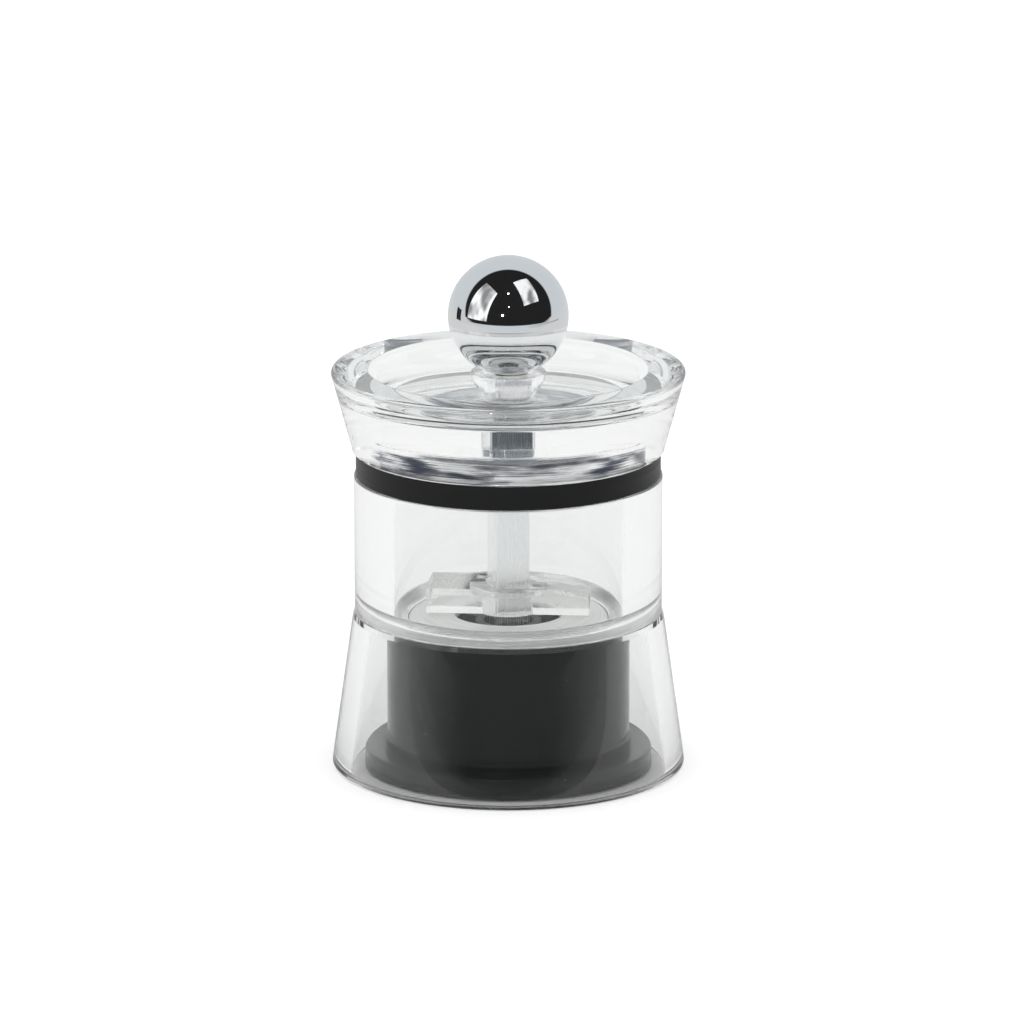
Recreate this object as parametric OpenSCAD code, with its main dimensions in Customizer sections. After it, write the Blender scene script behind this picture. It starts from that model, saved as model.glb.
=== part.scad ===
// Small acrylic pepper mill: a clear hopper on a hollow clear skirt, a black burr housing
// inside the skirt, a flared clear lid on a black bearing ring, and a chrome ball knob.
// The origin is the centre of the footprint, +Z is up, and all sizes are millimetres.

/* [Base skirt] */
// Outer radius of the skirt where it stands
base_r = 28.9; // [28:0.1:31]
// Outer radius of the skirt's top face
skirt_top_r = 25.4; // [25.2:0.1:26]
// Height of the skirt, which is also the height of the joint line
skirt_h = 25.9; // [25.5:0.1:28]
// Wall thickness of the skirt
skirt_wall = 3.2; // [2.6:0.1:3.6]

/* [Hopper] */
// Outer radius of the hopper
hopper_r = 25.1; // [24.8:0.1:25.2]
// Radius of the hopper's bore
bore_r = 18.7; // [18.4:0.1:19.4]
// Height of the hopper, joint line to rim
hopper_h = 22.85; // [21:0.05:26]
// Width of the bevelled lip round the hopper's foot
lip_w = 2.3; // [2:0.1:2.4]
// Radius of the throat that the pepper falls into
throat_r = 8.6; // [8.2:0.1:9]

/* [Bearing ring] */
// Outer radius of the black ring
ring_r = 24.8; // [24:0.1:25]
// Height of the black ring
ring_h = 4.0; // [3:0.1:5]

/* [Lid] */
// Outer radius of the lid's lower edge
lid_low_r = 25.3; // [24.8:0.1:25.6]
// Outer radius of the lid's upper edge before it is rounded
lid_top_r = 28.95; // [28:0.05:29.5]
// Height of the flared part of the lid
lid_h = 13.5; // [12.5:0.1:15]
// Radius of the dish in the top of the lid
dish_r = 22.6; // [21.5:0.1:23.5]
// Depth of the dish
dish_d = 4.5; // [4:0.1:5]
// Radius of the cavity under the lid
cavity_r = 14.5; // [13.5:0.1:15.5]
// Height of the solid web between the dish and the cavity
web_t = 4.7; // [3.5:0.1:5.5]
// Length of the spigot that centres the lid in the ring and the hopper
spigot_l = 5.2; // [4.5:0.1:6]

/* [Knob] */
// Radius of the ball knob
ball_r = 9.8; // [9:0.1:10.5]

/* [Drive] */
// Width across the flats of the square spindle
spindle_w = 5.6; // [5.2:0.1:5.8]
// Turn of the square spindle about its own axis
spindle_turn = 17; // [0:1:90]

/* [Burr housing] */
// Outer radius of the black housing
housing_r = 19.8; // [19.2:0.1:20]
// Outer radius of the housing's flange
flange_r = 23.4; // [22.5:0.1:23.6]
// Thickness of the housing's flange
flange_t = 3.6; // [3:0.1:4]
// Number of flutes on each burr
flutes = 12; // [8:1:14]

/* [Hidden] */
$fn = 96;

eps = 0.01;
past = 1;                   // how far a cut runs past the face that it opens
fit = 0.05;                 // radial running clearance of a shaft in its bore
loose = 0.15;               // radial clearance where nothing bears

// Heights of the main levels
rim_z = skirt_h + hopper_h;
lid_z = rim_z + ring_h;
lid_top_z = lid_z + lid_h;
dish_z = lid_top_z - dish_d;
cavity_z = dish_z - web_t;
spigot_z = lid_z - spigot_l;

// Lid details
spigot_gap = 0.08;
spigot_r = bore_r - spigot_gap;
dish_cove = 4.0;
dish_edge = 0.5;
rim_round = 1.6;
lid_bore_r = 4.15;
hub_r = 7.1;
hub_z = lid_z - 0.15;
hub_spigot_h = 0.6;
seat_top_r = 6.1;
seat_low_r = 4.6;
seat_flare = 2.0;
seat_band = 0.5;
seat_z = dish_z;
seat_h = 4.1;

// Ball details
ball_flat_r = 3.6;
ball_z = seat_z + seat_h + sqrt(ball_r * ball_r - ball_flat_r * ball_flat_r);
ball_hole_r = 3.3;
thread_r = 2.45;
insert_h = 9.0;
insert_cap = 0.6;
insert_z = seat_z + seat_h + 0.3;

// Drive details
stub_r = 2.5;
bar_bottom_z = 9.1;
bar_top_z = seat_z + seat_h - 0.2;
stub_z = 1.5;
stud_top_z = insert_z + insert_h - insert_cap - 0.2;
stud_root = 8.0;
groove_r = 1.9;
clip_z = 7.3;
clip_t = 0.7;
washer_t = 1.0;
washer_r = 5.5;
washer_z = clip_z + clip_t;

// Housing details
flange_z = 0.2;
collar_r = housing_r + 0.35;
collar_h = 1.8;
burr_bore_r = 16.3;
outlet_r = 14.2;
burr_ledge_z = 9.5;
gasket_h = 0.8;
housing_top_z = skirt_h - gasket_h;

// Burr details
burr_top_z = skirt_h + 0.1;
guide_z = 22.2;
guide_h = 2.4;
guide_r = 9.6;
throat_z = 18.0;
burr_open_r = 13.0;
rotor_low_r = 12.6;
rotor_neck_r = 8.6;
rotor_top_r = 5.7;
rotor_neck_z = 17.2;
rotor_z = 9.0;
rotor_h = 9.6;
flute_w = 1.5;

// Bridge details
bridge_z = 1.0;
bridge_t = 1.2;
bridge_w = 8.6;
bridge_half = 20.6;
screw_at = 17.9;
screw_r = 0.95;
screw_head_r = 1.8;
screw_head_t = 0.7;
screw_l = 7.0;
bush_r = 3.15;
bush_h = 3.0;
bush_flange_r = 4.0;
bush_flange_t = 0.8;

// Spring details
spring_wire_r = 0.3;
spring_mean_r = 4.55;
spring_turns = 3.5;
spring_low_z = rotor_z + rotor_h;
spring_top_z = guide_z;

// Colours
clear = [0.90, 0.93, 0.93, 0.35];
clear_trim = [0.82, 0.86, 0.86, 0.5];
black = [0.09, 0.10, 0.10];
silicone = [0.8, 0.8, 0.78];
white_ceramic = [0.90, 0.89, 0.85];
bright = [0.75, 0.77, 0.79];
chrome = [0.86, 0.87, 0.89];
brass = [0.78, 0.64, 0.36];

// A ring with a plain bore, standing on z = 0
module ring(r_out, r_in, h) {
    difference() {
        cylinder(r = r_out, h = h);
        translate([0, 0, -past]) cylinder(r = r_in, h = h + 2 * past);
    }
}

// The square section of the drive, turned as the spindle stands at rest
module drive_square(w, z, h) {
    rotate([0, 0, spindle_turn])
        translate([-w / 2, -w / 2, z]) cube([w, w, h]);
}

// Points of an arc in the plane of a lathe profile
function arc(cx, cz, r, from, to, steps) = [
    for (i = [0:steps]) let (a = from + (to - from) * i / steps)
        [cx + r * cos(a), cz + r * sin(a)]
];

module hopper_body() {
    edge = 0.4;
    lip_r = bore_r - lip_w;
    lip_t = 0.2;
    lip_rise = 1.7;
    color(clear) rotate_extrude() polygon([
        [lip_r, skirt_h], [hopper_r - edge, skirt_h], [hopper_r, skirt_h + edge],
        [hopper_r, rim_z - edge], [hopper_r - edge, rim_z], [bore_r + edge, rim_z],
        [bore_r, rim_z - edge], [bore_r, skirt_h + lip_rise], [lip_r, skirt_h + lip_t]
    ]);
}

module base_skirt() {
    foot = 0.5;
    bevel = 0.8;
    bevel_in = 0.35;
    color(clear) rotate_extrude() polygon([
        [base_r - skirt_wall, 0], [base_r - foot, 0], [base_r, foot],
        [skirt_top_r, skirt_h - bevel], [skirt_top_r - bevel_in, skirt_h],
        [skirt_top_r - skirt_wall, skirt_h]
    ]);
}

module mechanism_housing() {
    edge = 0.4;
    collar_edge = 0.3;
    shoulder_z = flange_z + flange_t;
    collar_z = shoulder_z + collar_h;
    pilot_top = screw_l + 1;
    color(black) difference() {
        rotate_extrude() polygon([
            [outlet_r, flange_z], [flange_r - edge, flange_z], [flange_r, flange_z + edge],
            [flange_r, shoulder_z - edge], [flange_r - edge, shoulder_z], [collar_r, shoulder_z],
            [collar_r, collar_z - collar_edge], [housing_r, collar_z],
            [housing_r, housing_top_z], [burr_bore_r, housing_top_z],
            [burr_bore_r, burr_ledge_z], [outlet_r, burr_ledge_z]
        ]);
        translate([-bridge_half, -bridge_w / 2, 0])
            cube([2 * bridge_half, bridge_w, bridge_z + bridge_t]);
        for (side = [-1, 1])
            translate([side * screw_at, 0, 0]) cylinder(r = screw_r, h = pilot_top, $fn = 32);
    }
}

module housing_gasket() {
    outer_gap = 0.2;
    inner_gap = 0.1;
    color(silicone) translate([0, 0, housing_top_z])
        ring(housing_r - outer_gap, burr_bore_r + inner_gap, gasket_h);
}

// A straight cutter for one flute, hanging down from the origin
module flute_cutter(depth, length, lean, twist) {
    rotate([twist, lean, 0]) translate([-depth / 2, -flute_w / 2, -length])
        cube([depth, flute_w, length + flute_w]);
}

module outer_burr() {
    wall_r = burr_bore_r - fit;
    edge = 0.2;
    throat_edge = 0.5;
    flute_l = 9.5;
    color(white_ceramic) difference() {
        rotate_extrude() polygon([
            [burr_open_r, burr_ledge_z], [wall_r, burr_ledge_z], [wall_r, burr_top_z - edge],
            [wall_r - edge, burr_top_z], [throat_r + throat_edge, burr_top_z],
            [throat_r, burr_top_z - throat_edge], [throat_r, guide_z + guide_h],
            [guide_r, guide_z + guide_h], [guide_r, throat_z]
        ]);
        for (i = [0:flutes - 1])
            rotate([0, 0, i * 360 / flutes]) translate([guide_r - 0.8, 0, throat_z])
                flute_cutter(2, flute_l, -22, 22);
    }
}

module inner_burr() {
    top_z = rotor_z + rotor_h;
    foot_cut = 0.6;
    flute_l = 8;
    color(white_ceramic) difference() {
        rotate_extrude() polygon([
            [0, rotor_z], [rotor_low_r - foot_cut, rotor_z], [rotor_low_r, burr_ledge_z + 0.1],
            [rotor_neck_r, rotor_neck_z], [rotor_top_r, top_z], [0, top_z]
        ]);
        drive_square(spindle_w + 2 * fit, rotor_z - past, rotor_h + 2 * past);
        for (i = [0:flutes - 1])
            rotate([0, 0, i * 360 / flutes]) translate([rotor_top_r + 2.6, 0, top_z + 0.8])
                flute_cutter(4, flute_l, -31, -20);
    }
}

module spindle_guide() {
    hub_out = 5.4;
    hub_in = spindle_w * sqrt(2) / 2 + loose;
    arm_w = 1.6;
    color(black) translate([0, 0, guide_z]) linear_extrude(height = guide_h) difference() {
        circle(r = guide_r - fit);
        difference() {
            circle(r = throat_r);
            circle(r = hub_out);
            for (a = [30, 150, 270])
                rotate(a) translate([0, -arm_w / 2]) square([guide_r, arm_w]);
        }
        circle(r = hub_in);
    }
}

module bridge_bar() {
    slot_gap = 0.1;
    hole_r = screw_r + slot_gap;
    reach = bridge_half - 2 * slot_gap;
    width = bridge_w - 2 * slot_gap;
    color(bright) translate([0, 0, bridge_z]) difference() {
        intersection() {
            translate([-reach, -width / 2, 0]) cube([2 * reach, width, bridge_t]);
            cylinder(r = reach, h = bridge_t);
        }
        translate([0, 0, -past]) cylinder(r = bush_r, h = bridge_t + 2 * past);
        for (side = [-1, 1])
            translate([side * screw_at, 0, -past])
                cylinder(r = hole_r, h = bridge_t + 2 * past, $fn = 32);
    }
}

module bridge_bush() {
    color(brass) translate([0, 0, bridge_z]) difference() {
        union() {
            cylinder(r = bush_r, h = bush_h);
            translate([0, 0, bridge_t]) cylinder(r = bush_flange_r, h = bush_flange_t);
        }
        translate([0, 0, -past]) cylinder(r = stub_r + fit, h = bush_h + 2 * past);
    }
}

module bridge_screws() {
    recess_w = 0.5;
    recess_l = 2.2;
    recess_top_z = bridge_z - 0.35;
    recess_turn = 20;
    color(bright) for (side = [-1, 1]) translate([side * screw_at, 0, 0]) difference() {
        union() {
            translate([0, 0, bridge_z - screw_head_t])
                cylinder(r = screw_head_r, h = screw_head_t, $fn = 48);
            translate([0, 0, bridge_z - eps])
                cylinder(r = screw_r, h = screw_l, $fn = 32);
        }
        for (a = [0, 90])
            rotate([0, 0, a + recess_turn]) translate([-recess_l / 2, -recess_w / 2, 0])
                cube([recess_l, recess_w, recess_top_z]);
    }
}

module bearing_ring() {
    edge = 0.3;
    color(black) rotate_extrude() polygon([
        [bore_r, rim_z], [ring_r - edge, rim_z], [ring_r, rim_z + edge],
        [ring_r, lid_z - edge], [ring_r - edge, lid_z], [bore_r, lid_z]
    ]);
}

module lid() {
    slope = (lid_top_r - lid_low_r) / lid_h;
    lean = atan(slope);
    round_x = lid_top_r - slope * rim_round * (1 + sin(lean)) - rim_round * cos(lean);
    edge = 0.3;
    color(clear) rotate_extrude() polygon(concat(
        [[lid_bore_r, cavity_z], [cavity_r, cavity_z], [cavity_r, spigot_z]],
        [[spigot_r - edge, spigot_z], [spigot_r, spigot_z + edge], [spigot_r, lid_z + eps]],
        [[lid_low_r - edge, lid_z + eps], [lid_low_r + slope * edge, lid_z + edge]],
        arc(round_x, lid_top_z - rim_round, rim_round, -lean, 90, 8),
        arc(dish_r + dish_edge, lid_top_z - dish_edge, dish_edge, 90, 180, 2),
        arc(dish_r - dish_cove, dish_z + dish_cove, dish_cove, 0, -90, 8),
        [[lid_bore_r, dish_z]]
    ));
}

module drive_hub() {
    color(clear_trim) difference() {
        union() {
            translate([0, 0, hub_z]) cylinder(r = hub_r, h = cavity_z - hub_z);
            translate([0, 0, cavity_z - eps]) cylinder(r = lid_bore_r, h = hub_spigot_h);
        }
        drive_square(spindle_w + 2 * fit, hub_z - past, cavity_z - hub_z + hub_spigot_h + 2 * past);
    }
}

module knob_seat() {
    color(clear_trim) translate([0, 0, seat_z]) rotate_extrude() polygon(concat(
        [[lid_bore_r, 0], [seat_low_r, 0]],
        arc(seat_top_r - seat_flare, seat_h - seat_band - 1.2, seat_flare, -50, 0, 6),
        [[seat_top_r, seat_h - seat_band], [seat_top_r, seat_h], [lid_bore_r, seat_h]]
    ));
}

module knob_ball() {
    color(chrome) difference() {
        translate([0, 0, ball_z]) rotate_extrude() intersection() {
            circle(r = ball_r, $fn = 180);
            translate([0, -sqrt(ball_r * ball_r - ball_flat_r * ball_flat_r)])
                square([2 * ball_r, 2 * ball_r]);
        }
        translate([0, 0, seat_z]) cylinder(r = ball_hole_r, h = insert_z - seat_z + insert_h);
    }
}

module knob_insert() {
    color(brass) translate([0, 0, insert_z]) difference() {
        cylinder(r = ball_hole_r, h = insert_h);
        translate([0, 0, -past]) cylinder(r = thread_r + fit, h = insert_h - insert_cap + past);
    }
}

module feed_impeller() {
    foot_z = burr_top_z + 0.35;
    hub_out = 5.1;
    hub_h = 4.3;
    rim_out = 6.3;
    rim_h = 0.9;
    arm_r = 13.4;
    arm_w = 6.4;
    low_h = 3.0;
    high_h = 5.1;
    color(clear_trim) translate([0, 0, foot_z]) difference() {
        union() {
            cylinder(r = hub_out, h = hub_h);
            translate([0, 0, hub_h - rim_h]) cylinder(r = rim_out, h = rim_h);
            for (a = [-4, 176]) rotate([0, 0, a]) intersection() {
                rotate([90, 0, 90]) linear_extrude(height = arm_r + past) polygon([
                    [-arm_w / 2, 0], [arm_w / 2, 0], [arm_w / 2, low_h],
                    [-arm_w / 2, high_h]
                ]);
                cylinder(r = arm_r, h = high_h + past);
            }
        }
        drive_square(spindle_w + 2 * fit, -past, high_h + 2 * past);
    }
}

module spindle() {
    color(bright) difference() {
        union() {
            drive_square(spindle_w, bar_bottom_z, bar_top_z - bar_bottom_z);
            translate([0, 0, stub_z]) cylinder(r = stub_r, h = bar_bottom_z - stub_z + 1);
        }
        translate([0, 0, clip_z]) ring(stub_r + past, groove_r, clip_t);
        translate([0, 0, bar_top_z - stud_root]) cylinder(r = thread_r, h = stud_root + past);
    }
}

module spindle_stud() {
    color(bright) translate([0, 0, bar_top_z - stud_root])
        cylinder(r = thread_r, h = stud_top_z - bar_top_z + stud_root);
}

module burr_washer() {
    color(bright) translate([0, 0, washer_z]) ring(washer_r, stub_r + fit, washer_t);
}

module retaining_clip() {
    clip_r = 4.2;
    mouth_w = 3;
    relief_r = 0.6;
    side_gap = 0.02;
    cut_h = clip_t + 2 * past;
    color(bright) translate([0, 0, clip_z + side_gap]) difference() {
        ring(clip_r, groove_r, clip_t - 2 * side_gap);
        translate([0, -mouth_w / 2, -past]) cube([clip_r + past, mouth_w, cut_h]);
        for (a = [120, 240]) rotate([0, 0, a]) translate([groove_r + relief_r, 0, -past])
            cylinder(r = relief_r, h = cut_h, $fn = 24);
    }
}

// A helix of round wire, swept as one closed tube
function helix_point(i, n, r, z0, z1, turns) =
    let (a = 360 * turns * i / n) [r * cos(a), r * sin(a), z0 + (z1 - z0) * i / n];
module burr_spring() {
    rings = spring_turns * 20;
    sides = 8;
    end_gap = 0.03;
    low = spring_low_z + spring_wire_r + end_gap;
    high = spring_top_z - spring_wire_r - end_gap;
    pts = [
        for (i = [0:rings], k = [0:sides - 1]) let (
            a = 360 * spring_turns * i / rings,
            b = 360 * k / sides,
            out = spring_mean_r + spring_wire_r * cos(b),
            p = helix_point(i, rings, spring_mean_r, low, high, spring_turns)
        ) [out * cos(a), out * sin(a), p[2] + spring_wire_r * sin(b)]
    ];
    walls = [
        for (i = [0:rings - 1], k = [0:sides - 1]) let (n = (k + 1) % sides)
            [i * sides + k, (i + 1) * sides + k, (i + 1) * sides + n, i * sides + n]
    ];
    ends = [
        [for (k = [0:sides - 1]) k],
        [for (k = [sides - 1:-1:0]) rings * sides + k]
    ];
    color(bright) polyhedron(points = pts, faces = concat(walls, ends));
}

hopper_body();
base_skirt();
mechanism_housing();
housing_gasket();
outer_burr();
spindle_guide();
bridge_bar();
bridge_bush();
bridge_screws();
bearing_ring();
lid();
drive_hub();
knob_seat();
knob_ball();
knob_insert();
feed_impeller();
spindle();
spindle_stud();
inner_burr();
burr_washer();
retaining_clip();
burr_spring();
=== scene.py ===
"""Looks of a small clear acrylic pepper mill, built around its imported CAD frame.

Lengths and places are millimetres in the frame's own axes, and MM turns them into metres where a mesh,
a lamp or the camera is made.
"""

import math

import bmesh
import bpy
from mathutils import Matrix, Vector


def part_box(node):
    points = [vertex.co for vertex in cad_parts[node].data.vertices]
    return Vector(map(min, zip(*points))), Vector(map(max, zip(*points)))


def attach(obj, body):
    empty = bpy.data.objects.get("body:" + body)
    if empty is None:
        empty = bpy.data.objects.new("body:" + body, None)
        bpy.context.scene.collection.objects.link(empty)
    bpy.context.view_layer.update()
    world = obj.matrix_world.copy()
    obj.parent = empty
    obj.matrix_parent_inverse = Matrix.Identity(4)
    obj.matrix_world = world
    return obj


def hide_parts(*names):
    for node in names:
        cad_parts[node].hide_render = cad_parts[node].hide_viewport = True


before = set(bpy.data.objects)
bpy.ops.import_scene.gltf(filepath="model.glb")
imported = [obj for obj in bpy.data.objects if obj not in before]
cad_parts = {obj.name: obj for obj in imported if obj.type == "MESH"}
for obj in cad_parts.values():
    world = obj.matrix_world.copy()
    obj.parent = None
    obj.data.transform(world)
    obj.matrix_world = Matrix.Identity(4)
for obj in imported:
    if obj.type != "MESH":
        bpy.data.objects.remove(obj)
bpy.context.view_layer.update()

MM = 0.001
SEGMENTS = 384  # faces round a turned piece
SHARP = math.radians(35)  # edges that bend more than this are drawn sharp
STRAIGHT = math.radians(176)  # a profile corner flatter than this is not rounded
LONG_STRETCH = 0.5  # a profile stretch longer than this gets guard points
GUARD = 0.03  # distance of a guard point from the end of its stretch
scene = bpy.context.scene


# ---------------------------------------------------------------- sizes read from the frame


def span(node):
    """Outer radius, lowest and highest level of a CAD node, in millimetres."""
    low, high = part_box(node)
    return high.x / MM, low.z / MM, high.z / MM


hopper_r, joint_z, rim_z = span("hopper_body")
base_r, _, skirt_top_z = span("base_skirt")
ring_r, _, lid_z = span("bearing_ring")
_, spigot_z, lid_top_z = span("lid")
hub_r, hub_z, hub_top_z = span("drive_hub")
seat_r, seat_z, seat_top_z = span("knob_seat")
ball_r, ball_low_z, ball_top_z = span("knob_ball")
flange_r, flange_z, housing_top_z = span("mechanism_housing")
_, ledge_z, _ = span("outer_burr")

# Sizes that a node's box doesn't tell, the same as in the CAD source.
bore_r = 18.7
spigot_r = bore_r - 0.08
lip_r = 16.4
skirt_top_r = 25.4
skirt_wall = 3.2
lid_low_r = 25.3
lid_edge_r = 28.95
dish_r = 22.6
dish_z = seat_z
cove_r = 4.0
cavity_r = 14.5
cavity_z = 57.05
lid_bore_r = 4.15
housing_r = 19.8
collar_r = 20.15
outlet_r = 14.2
burr_bore_r = 16.3
bar_w = 5.6
bar_turn = math.radians(17)


# ---------------------------------------------------------------- mesh helpers


def arc(cx, cz, r, start, end, steps):
    """Points of an arc in the plane of a profile; the angles are degrees."""
    angles = [math.radians(start + (end - start) * i / steps) for i in range(steps + 1)]
    return [(cx + r * math.cos(a), cz + r * math.sin(a)) for a in angles]


def rounded(points, radii, steps=5):
    """The closed profile with each corner rounded to its own radius."""
    out = []
    for i, point in enumerate(points):
        before, here, after = Vector(points[i - 1]), Vector(point), Vector(points[(i + 1) % len(points)])
        to_before, to_after = before - here, after - here
        u, v = to_before.normalized(), to_after.normalized()
        angle = u.angle(v)
        if radii[i] <= 0 or angle > STRAIGHT:
            out.append(tuple(here))
            continue
        cut = min(radii[i] / math.tan(angle / 2), to_before.length * 0.49, to_after.length * 0.49)
        centre = here + (u + v).normalized() * (cut / math.cos(angle / 2))
        first, last = here + u * cut - centre, here + v * cut - centre
        turn = math.atan2(first.x * last.y - first.y * last.x, first.dot(last))
        for k in range(steps + 1):
            c, s = math.cos(turn * k / steps), math.sin(turn * k / steps)
            out.append((centre.x + first.x * c - first.y * s, centre.y + first.x * s + first.y * c))
    return out


def finish_mesh(name, bm, body, nodes, materials):
    """Links a bmesh as a piece that rides on a body and stands for CAD nodes."""
    bmesh.ops.recalc_face_normals(bm, faces=bm.faces)
    mesh = bpy.data.meshes.new(name)
    bm.to_mesh(mesh)
    bm.free()
    mesh.shade_smooth()
    mesh.set_sharp_from_angle(angle=SHARP)
    for material in materials:
        mesh.materials.append(material)
    piece = bpy.data.objects.new(name, mesh)
    scene.collection.objects.link(piece)
    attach(piece, body)
    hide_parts(*nodes)
    return piece


def guarded(profile):
    """Adds a point near both ends of each long stretch, so that smooth shading stays true along it."""
    out = []
    for i, (r, z) in enumerate(profile):
        next_r, next_z = profile[(i + 1) % len(profile)]
        length = math.hypot(next_r - r, next_z - z)
        out.append((r, z))
        if length > LONG_STRETCH:
            shares = (GUARD / length, 1 - GUARD / length)
            out += [(r + (next_r - r) * share, z + (next_z - z) * share) for share in shares]
    return out


def lathe_into(bm, profile, segments=SEGMENTS, pick=None):
    """Turns a closed profile of (radius, level) points into a ring of faces round the Z axis."""
    profile = guarded(profile)
    rings = []
    for r, z in profile:
        if r < 1e-6:
            rings.append([bm.verts.new((0, 0, z * MM))])
            continue
        angles = [2 * math.pi * k / segments for k in range(segments)]
        rings.append([bm.verts.new((r * MM * math.cos(a), r * MM * math.sin(a), z * MM)) for a in angles])
    for i, ring in enumerate(rings):
        j = (i + 1) % len(rings)
        upper = rings[j]
        if len(ring) == 1 and len(upper) == 1:
            continue
        mid = ((profile[i][0] + profile[j][0]) / 2, (profile[i][1] + profile[j][1]) / 2)
        for k in range(segments):
            n = (k + 1) % segments
            corners = [ring[k % len(ring)], ring[n % len(ring)]]
            corners += [upper[n % len(upper)], upper[k % len(upper)]]
            face = bm.faces.new(list(dict.fromkeys(corners)))
            face.material_index = pick(*mid) if pick else 0


def lathe(name, profile, body, nodes, materials, pick=None):
    """A turned piece from a closed profile; pick gives a face's material from its radius and level."""
    bm = bmesh.new()
    lathe_into(bm, profile, pick=pick)
    return finish_mesh(name, bm, body, nodes, materials)


# ---------------------------------------------------------------- material helpers


COLOUR_MIX_INPUTS = (0, 6, 7)  # share and the two colours among the Mix node's sockets
COLOUR_MIX_OUTPUT = 2
LAMP_SHARE = 0.97  # what a clear wall lets through of a lamp's light


def feed(tree, socket, value):
    """Links a socket to another node's output, or sets it to a plain value."""
    if isinstance(value, bpy.types.NodeSocket):
        tree.links.new(value, socket)
    else:
        socket.default_value = value


class Look:
    """A node-based material under construction."""

    def __init__(self, name, **sockets):
        self.material = bpy.data.materials.new(name)
        self.material.use_nodes = True
        self.tree = self.material.node_tree
        self.shader = self.tree.nodes["Principled BSDF"]
        self.out = self.tree.nodes["Material Output"]
        self.set(self.shader, **sockets)

    def set(self, node, **sockets):
        """Sets or links a node's sockets by their names, with _ for a space."""
        for key, value in sockets.items():
            feed(self.tree, node.inputs[key.replace("_", " ")], value)
        return node

    def add(self, kind, settings=None, **sockets):
        """A new shader node with its settings and sockets."""
        node = self.tree.nodes.new("ShaderNode" + kind)
        for key, value in (settings or {}).items():
            setattr(node, key, value)
        return self.set(node, **sockets)

    def math(self, operation, a, b=0.0):
        """The result of one arithmetic node."""
        node = self.add("Math", {"operation": operation})
        for socket, value in zip(node.inputs, (a, b)):
            feed(self.tree, socket, value)
        return node.outputs[0]

    def scaled(self, vector, scales):
        """The vector with each of its parts multiplied by its own scale."""
        node = self.add("VectorMath", {"operation": "MULTIPLY"}, Vector=vector)
        node.inputs[1].default_value = scales
        return node.outputs[0]

    def place(self):
        """The point on the piece, in millimetres of the frame."""
        coords = self.add("TexCoord").outputs["Object"]
        return self.add("VectorMath", {"operation": "SCALE"}, Vector=coords, Scale=1 / MM).outputs[0]

    def place_parts(self):
        """That point's x, y and level."""
        return self.add("SeparateXYZ", Vector=self.place()).outputs

    def around(self, turns=1.0, along=1.0, out=1.0):
        """Angle about Z, level and radius as one vector, each with its own scale."""
        x, y, z = self.place_parts()
        angle = self.math("MULTIPLY", self.math("ARCTAN2", y, x), turns)
        square = self.math("ADD", self.math("MULTIPLY", x, x), self.math("MULTIPLY", y, y))
        level = self.math("MULTIPLY", z, along)
        radius = self.math("MULTIPLY", self.math("SQRT", square), out)
        return self.add("CombineXYZ", X=angle, Y=level, Z=radius).outputs[0]

    def noise(self, vector, scale, detail=3.0, rough=0.5):
        """Smooth noise from 0 to 1."""
        node = self.add("TexNoise", Vector=vector, Scale=scale, Detail=detail, Roughness=rough)
        return node.outputs["Fac"]

    def ramp(self, value, low, high, to_low=0.0, to_high=1.0):
        """The value mapped from low..high to to_low..to_high with soft ends."""
        node = self.add("MapRange", {"interpolation_type": "SMOOTHSTEP"}, Value=value)
        self.set(node, From_Min=low, From_Max=high, To_Min=to_low, To_Max=to_high)
        return node.outputs[0]

    def specks(self, spacing, radius, share):
        """Small round specks, 1 inside a speck; share of the cells hold one."""
        cells = self.add("TexVoronoi", Vector=self.place(), Scale=1 / spacing)
        near = self.ramp(cells.outputs["Distance"], radius / spacing, 0.6 * radius / spacing)
        chosen = self.add("SeparateXYZ", Vector=cells.outputs["Color"]).outputs[0]
        return self.math("MULTIPLY", near, self.math("LESS_THAN", chosen, share))

    def bump(self, height, distance, strength=1.0, normal=None):
        """A bump whose full height is distance millimetres, on top of another bump's normal if given."""
        node = self.add("Bump", Height=height, Strength=strength, Distance=distance * MM)
        if normal is not None:
            self.set(node, Normal=normal)
        return node.outputs["Normal"]

    def mix(self, share, a, b):
        """Colour a where share is 0 and b where it is 1."""
        node = self.add("Mix", {"data_type": "RGBA"})
        for number, value in zip(COLOUR_MIX_INPUTS, (share, a, b)):
            feed(self.tree, node.inputs[number], value)
        return node.outputs[COLOUR_MIX_OUTPUT]

    def show(self, share, a, b):
        """The surface is shader node a where share is 0 and shader node b where it is 1."""
        mixer = self.add("MixShader")
        for socket, value in zip(mixer.inputs, (share, a.outputs[0], b.outputs[0])):
            feed(self.tree, socket, value)
        self.tree.links.new(mixer.outputs[0], self.out.inputs["Surface"])

    def let_lamps_through(self):
        """Lamp rays pass straight through, so that what is behind the clear wall stays lit."""
        path = self.add("LightPath")
        clear = self.add("BsdfTransparent", Color=(LAMP_SHARE, LAMP_SHARE, LAMP_SHARE, 1))
        self.show(path.outputs["Is Shadow Ray"], self.shader, clear)
        return self


def grey(value, blue=0.0):
    """A grey colour, slightly blue if asked."""
    return (value, value * (1 + blue / 2), value * (1 + blue), 1)


# ---------------------------------------------------------------- materials


# Noise scales are cycles per millimetre, and bump heights are millimetres.

ACRYLIC_IOR = 1.49
CLEAR_TINT = (0.925, 0.935, 0.93, 1)
POLISH_WAVE = 0.003


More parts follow.
